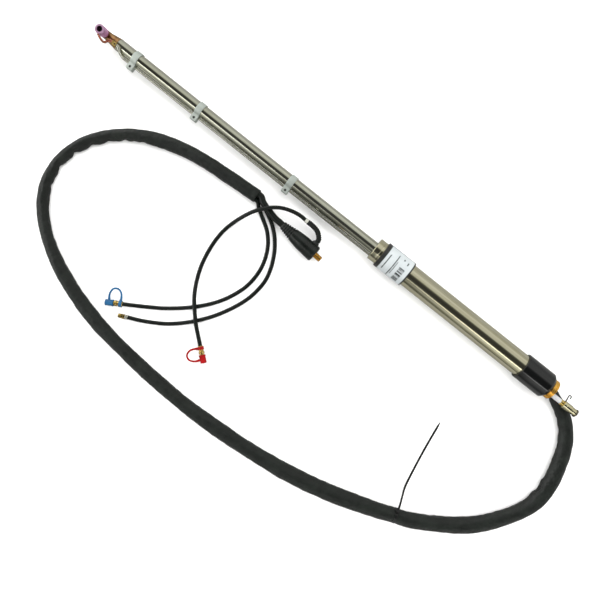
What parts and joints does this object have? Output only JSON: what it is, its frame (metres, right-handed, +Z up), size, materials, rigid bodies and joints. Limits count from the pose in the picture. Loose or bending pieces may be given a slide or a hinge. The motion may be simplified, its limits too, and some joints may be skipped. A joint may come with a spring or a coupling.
{
  "type": "welding torch lance",
  "caption": "Long water-cooled welding torch lance with an angled ceramic cup, side wire guide, cable sleeve, power plug and capped service hoses.",
  "frame": {"origin": "on the resting surface, below the middle of the lance", "axes": "+X along the lance towards its rear, +Z up"},
  "size_m": [1.3995, 0.5732, 0.0739],
  "materials": {
    "barrel_steel": "polished stainless tube with fine lengthways draw marks",
    "housing_steel": "bright turned stainless steel",
    "clamp_alloy": "satin bead-blasted alloy",
    "screw_steel": "blackened steel",
    "head_copper": "heat-browned copper alloy",
    "bracket_brass": "dull brass",
    "nozzle_copper": "bright copper",
    "lens_brass": "turned brass",
    "lens_gauze": "dark bronze gauze",
    "cup_ceramic": "unglazed pink alumina",
    "seal_fluoro": "dark red-brown sealing ring",
    "tungsten": "ground tungsten",
    "black_phenolic": "glossy black phenolic",
    "label_ring_black": "black plastic",
    "label_film": "white printed film, blank but for ruled lines",
    "gland_brass": "bright turned brass",
    "inlet_plastic": "milky plastic tube",
    "ferrule_brass": "brass",
    "inlet_nickel": "nickel-plated brass",
    "rim_dark": "darkened steel",
    "sleeve_fabric": "black coated cable sleeve with creases",
    "tie_nylon": "black nylon",
    "cable_rubber": "black rubber with a soft sheen",
    "plug_rubber": "matt black moulded rubber",
    "pin_brass": "golden brass",
    "marker_print": "off-white printed band",
    "red_rubber": "red soft rubber",
    "blue_rubber": "blue soft rubber",
    "crimp_steel": "bright crimped ferrule"
  },
  "bodies": {
    "lance": {"torch_head": "head_copper", "head_seal": "seal_fluoro", "gas_lens": "lens_gauze", "collet": "nozzle_copper", "electrode": "tungsten", "wire_bracket": "bracket_brass", "bracket_screw": "screw_steel", "wire_nozzle": "nozzle_copper", "barrel_tube": "barrel_steel", "power_line": "nozzle_copper", "water_line": "barrel_steel", "gas_line": "barrel_steel", "barrel_spacers": "inlet_plastic", "wire_guide_tube": "barrel_steel", "front_plug": "housing_steel", "housing_tube": "housing_steel", "label_ring": "label_ring_black", "label": "label_film", "housing_spacers": "inlet_plastic", "manifold": "lens_brass", "service_leads": "cable_rubber", "wire_liner": "inlet_plastic", "rear_collar": "black_phenolic", "gland_ring": "gland_brass", "inlet_tube": "inlet_plastic", "inlet_ferrule": "ferrule_brass", "inlet_body": "inlet_nickel", "inlet_rim": "rim_dark", "cable_sleeve": "sleeve_fabric", "cable_tie": "tie_nylon", "power_cable": "cable_rubber", "plug_boot": "plug_rubber", "plug_pin": "pin_brass", "kink_guard": "cable_rubber", "marker_band": "marker_print", "red_hose": "cable_rubber", "red_coupling": "ferrule_brass", "red_ring": "red_rubber", "red_strap": "red_rubber", "blue_hose": "cable_rubber", "blue_coupling": "ferrule_brass", "blue_ring": "blue_rubber", "blue_strap": "blue_rubber", "gas_hose": "cable_rubber", "gas_ferrule": "crimp_steel", "gas_nipple": "ferrule_brass"},
    "cup_nut": {"cup": "cup_ceramic"},
    "rear_screw_cap": {"back_cap": "black_phenolic"},
    "latch": {"latch_pin": "screw_steel"},
    "front_clamp": {"clamp_front": "clamp_alloy", "screw_front": "screw_steel"},
    "middle_clamp": {"clamp_middle": "clamp_alloy", "screw_middle": "screw_steel"},
    "rear_clamp": {"clamp_rear": "clamp_alloy", "screw_rear": "screw_steel"},
    "red_cover": {"red_cap": "red_rubber"},
    "blue_cover": {"blue_cap": "blue_rubber"},
    "gas_union": {"gas_nut": "ferrule_brass"}
  },
  "joints": [
    {"name": "cup_turn", "type": "hinge", "parent": "lance", "child": "cup_nut", "pos_m": [-0.651, 0, 0.03], "axis": [0, -0.1219, 0.9925], "continuous": true},
    {"name": "back_cap_turn", "type": "hinge", "parent": "lance", "child": "rear_screw_cap", "pos_m": [-0.651, 0, 0.03], "axis": [0, -0.1219, 0.9925], "continuous": true},
    {"name": "latch_pull", "type": "slide", "parent": "lance", "child": "latch", "axis": [-0.1392, 0.9903, 0], "range_m": [0, 0.005], "stiffness_N_per_m": 400},
    {"name": "front_clamp_slide", "type": "slide", "parent": "lance", "child": "front_clamp", "axis": [1, 0, 0], "range_m": [-0.01, 0.06]},
    {"name": "middle_clamp_slide", "type": "slide", "parent": "lance", "child": "middle_clamp", "axis": [1, 0, 0], "range_m": [-0.08, 0.08]},
    {"name": "rear_clamp_slide", "type": "slide", "parent": "lance", "child": "rear_clamp", "axis": [1, 0, 0], "range_m": [-0.08, 0.08]},
    {"name": "red_cap_pull", "type": "slide", "parent": "lance", "child": "red_cover", "axis": [0.7682, -0.6402, 0], "range_m": [0, 0.014], "deforming": ["red_strap"]},
    {"name": "blue_cap_pull", "type": "slide", "parent": "lance", "child": "blue_cover", "axis": [-0.8508, -0.5255, 0], "range_m": [0, 0.014], "deforming": ["blue_strap"]},
    {"name": "gas_nut_turn", "type": "hinge", "parent": "lance", "child": "gas_union", "pos_m": [-0.236, -0.4574, 0.0052], "axis": [-0.9003, -0.4352, 0], "continuous": true}
  ]
}
